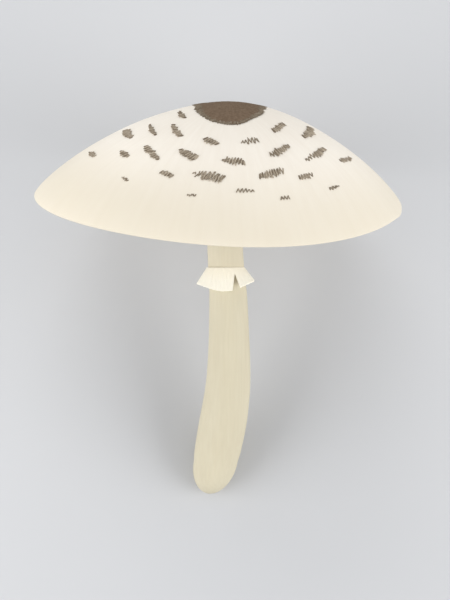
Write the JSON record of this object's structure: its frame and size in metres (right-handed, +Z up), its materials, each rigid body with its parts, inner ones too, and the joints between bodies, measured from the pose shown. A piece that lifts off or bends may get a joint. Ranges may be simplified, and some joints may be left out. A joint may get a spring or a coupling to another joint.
{
  "type": "parasol mushroom",
  "caption": "Picked parasol mushroom lying on its side: broad scaly cap with gills and a dark crown, slim bent stem with a swollen foot, and a loose torn ring.",
  "frame": {"origin": "middle of the mushroom's footprint, on the surface that it lies on", "axes": "+Z up from that surface; +Y from the stem's foot towards the cap, level; +X to the right of the mushroom seen from its front, which looks up"},
  "size_m": [0.1784, 0.186, 0.1546],
  "materials": {
    "cap": "matte",
    "crown": "matte",
    "stem": "matte",
    "ring": "matte"
  },
  "bodies": {
    "root": {"cap": "cap", "crown": "crown", "stem": "stem", "ring": "ring"}
  },
  "joints": []
}
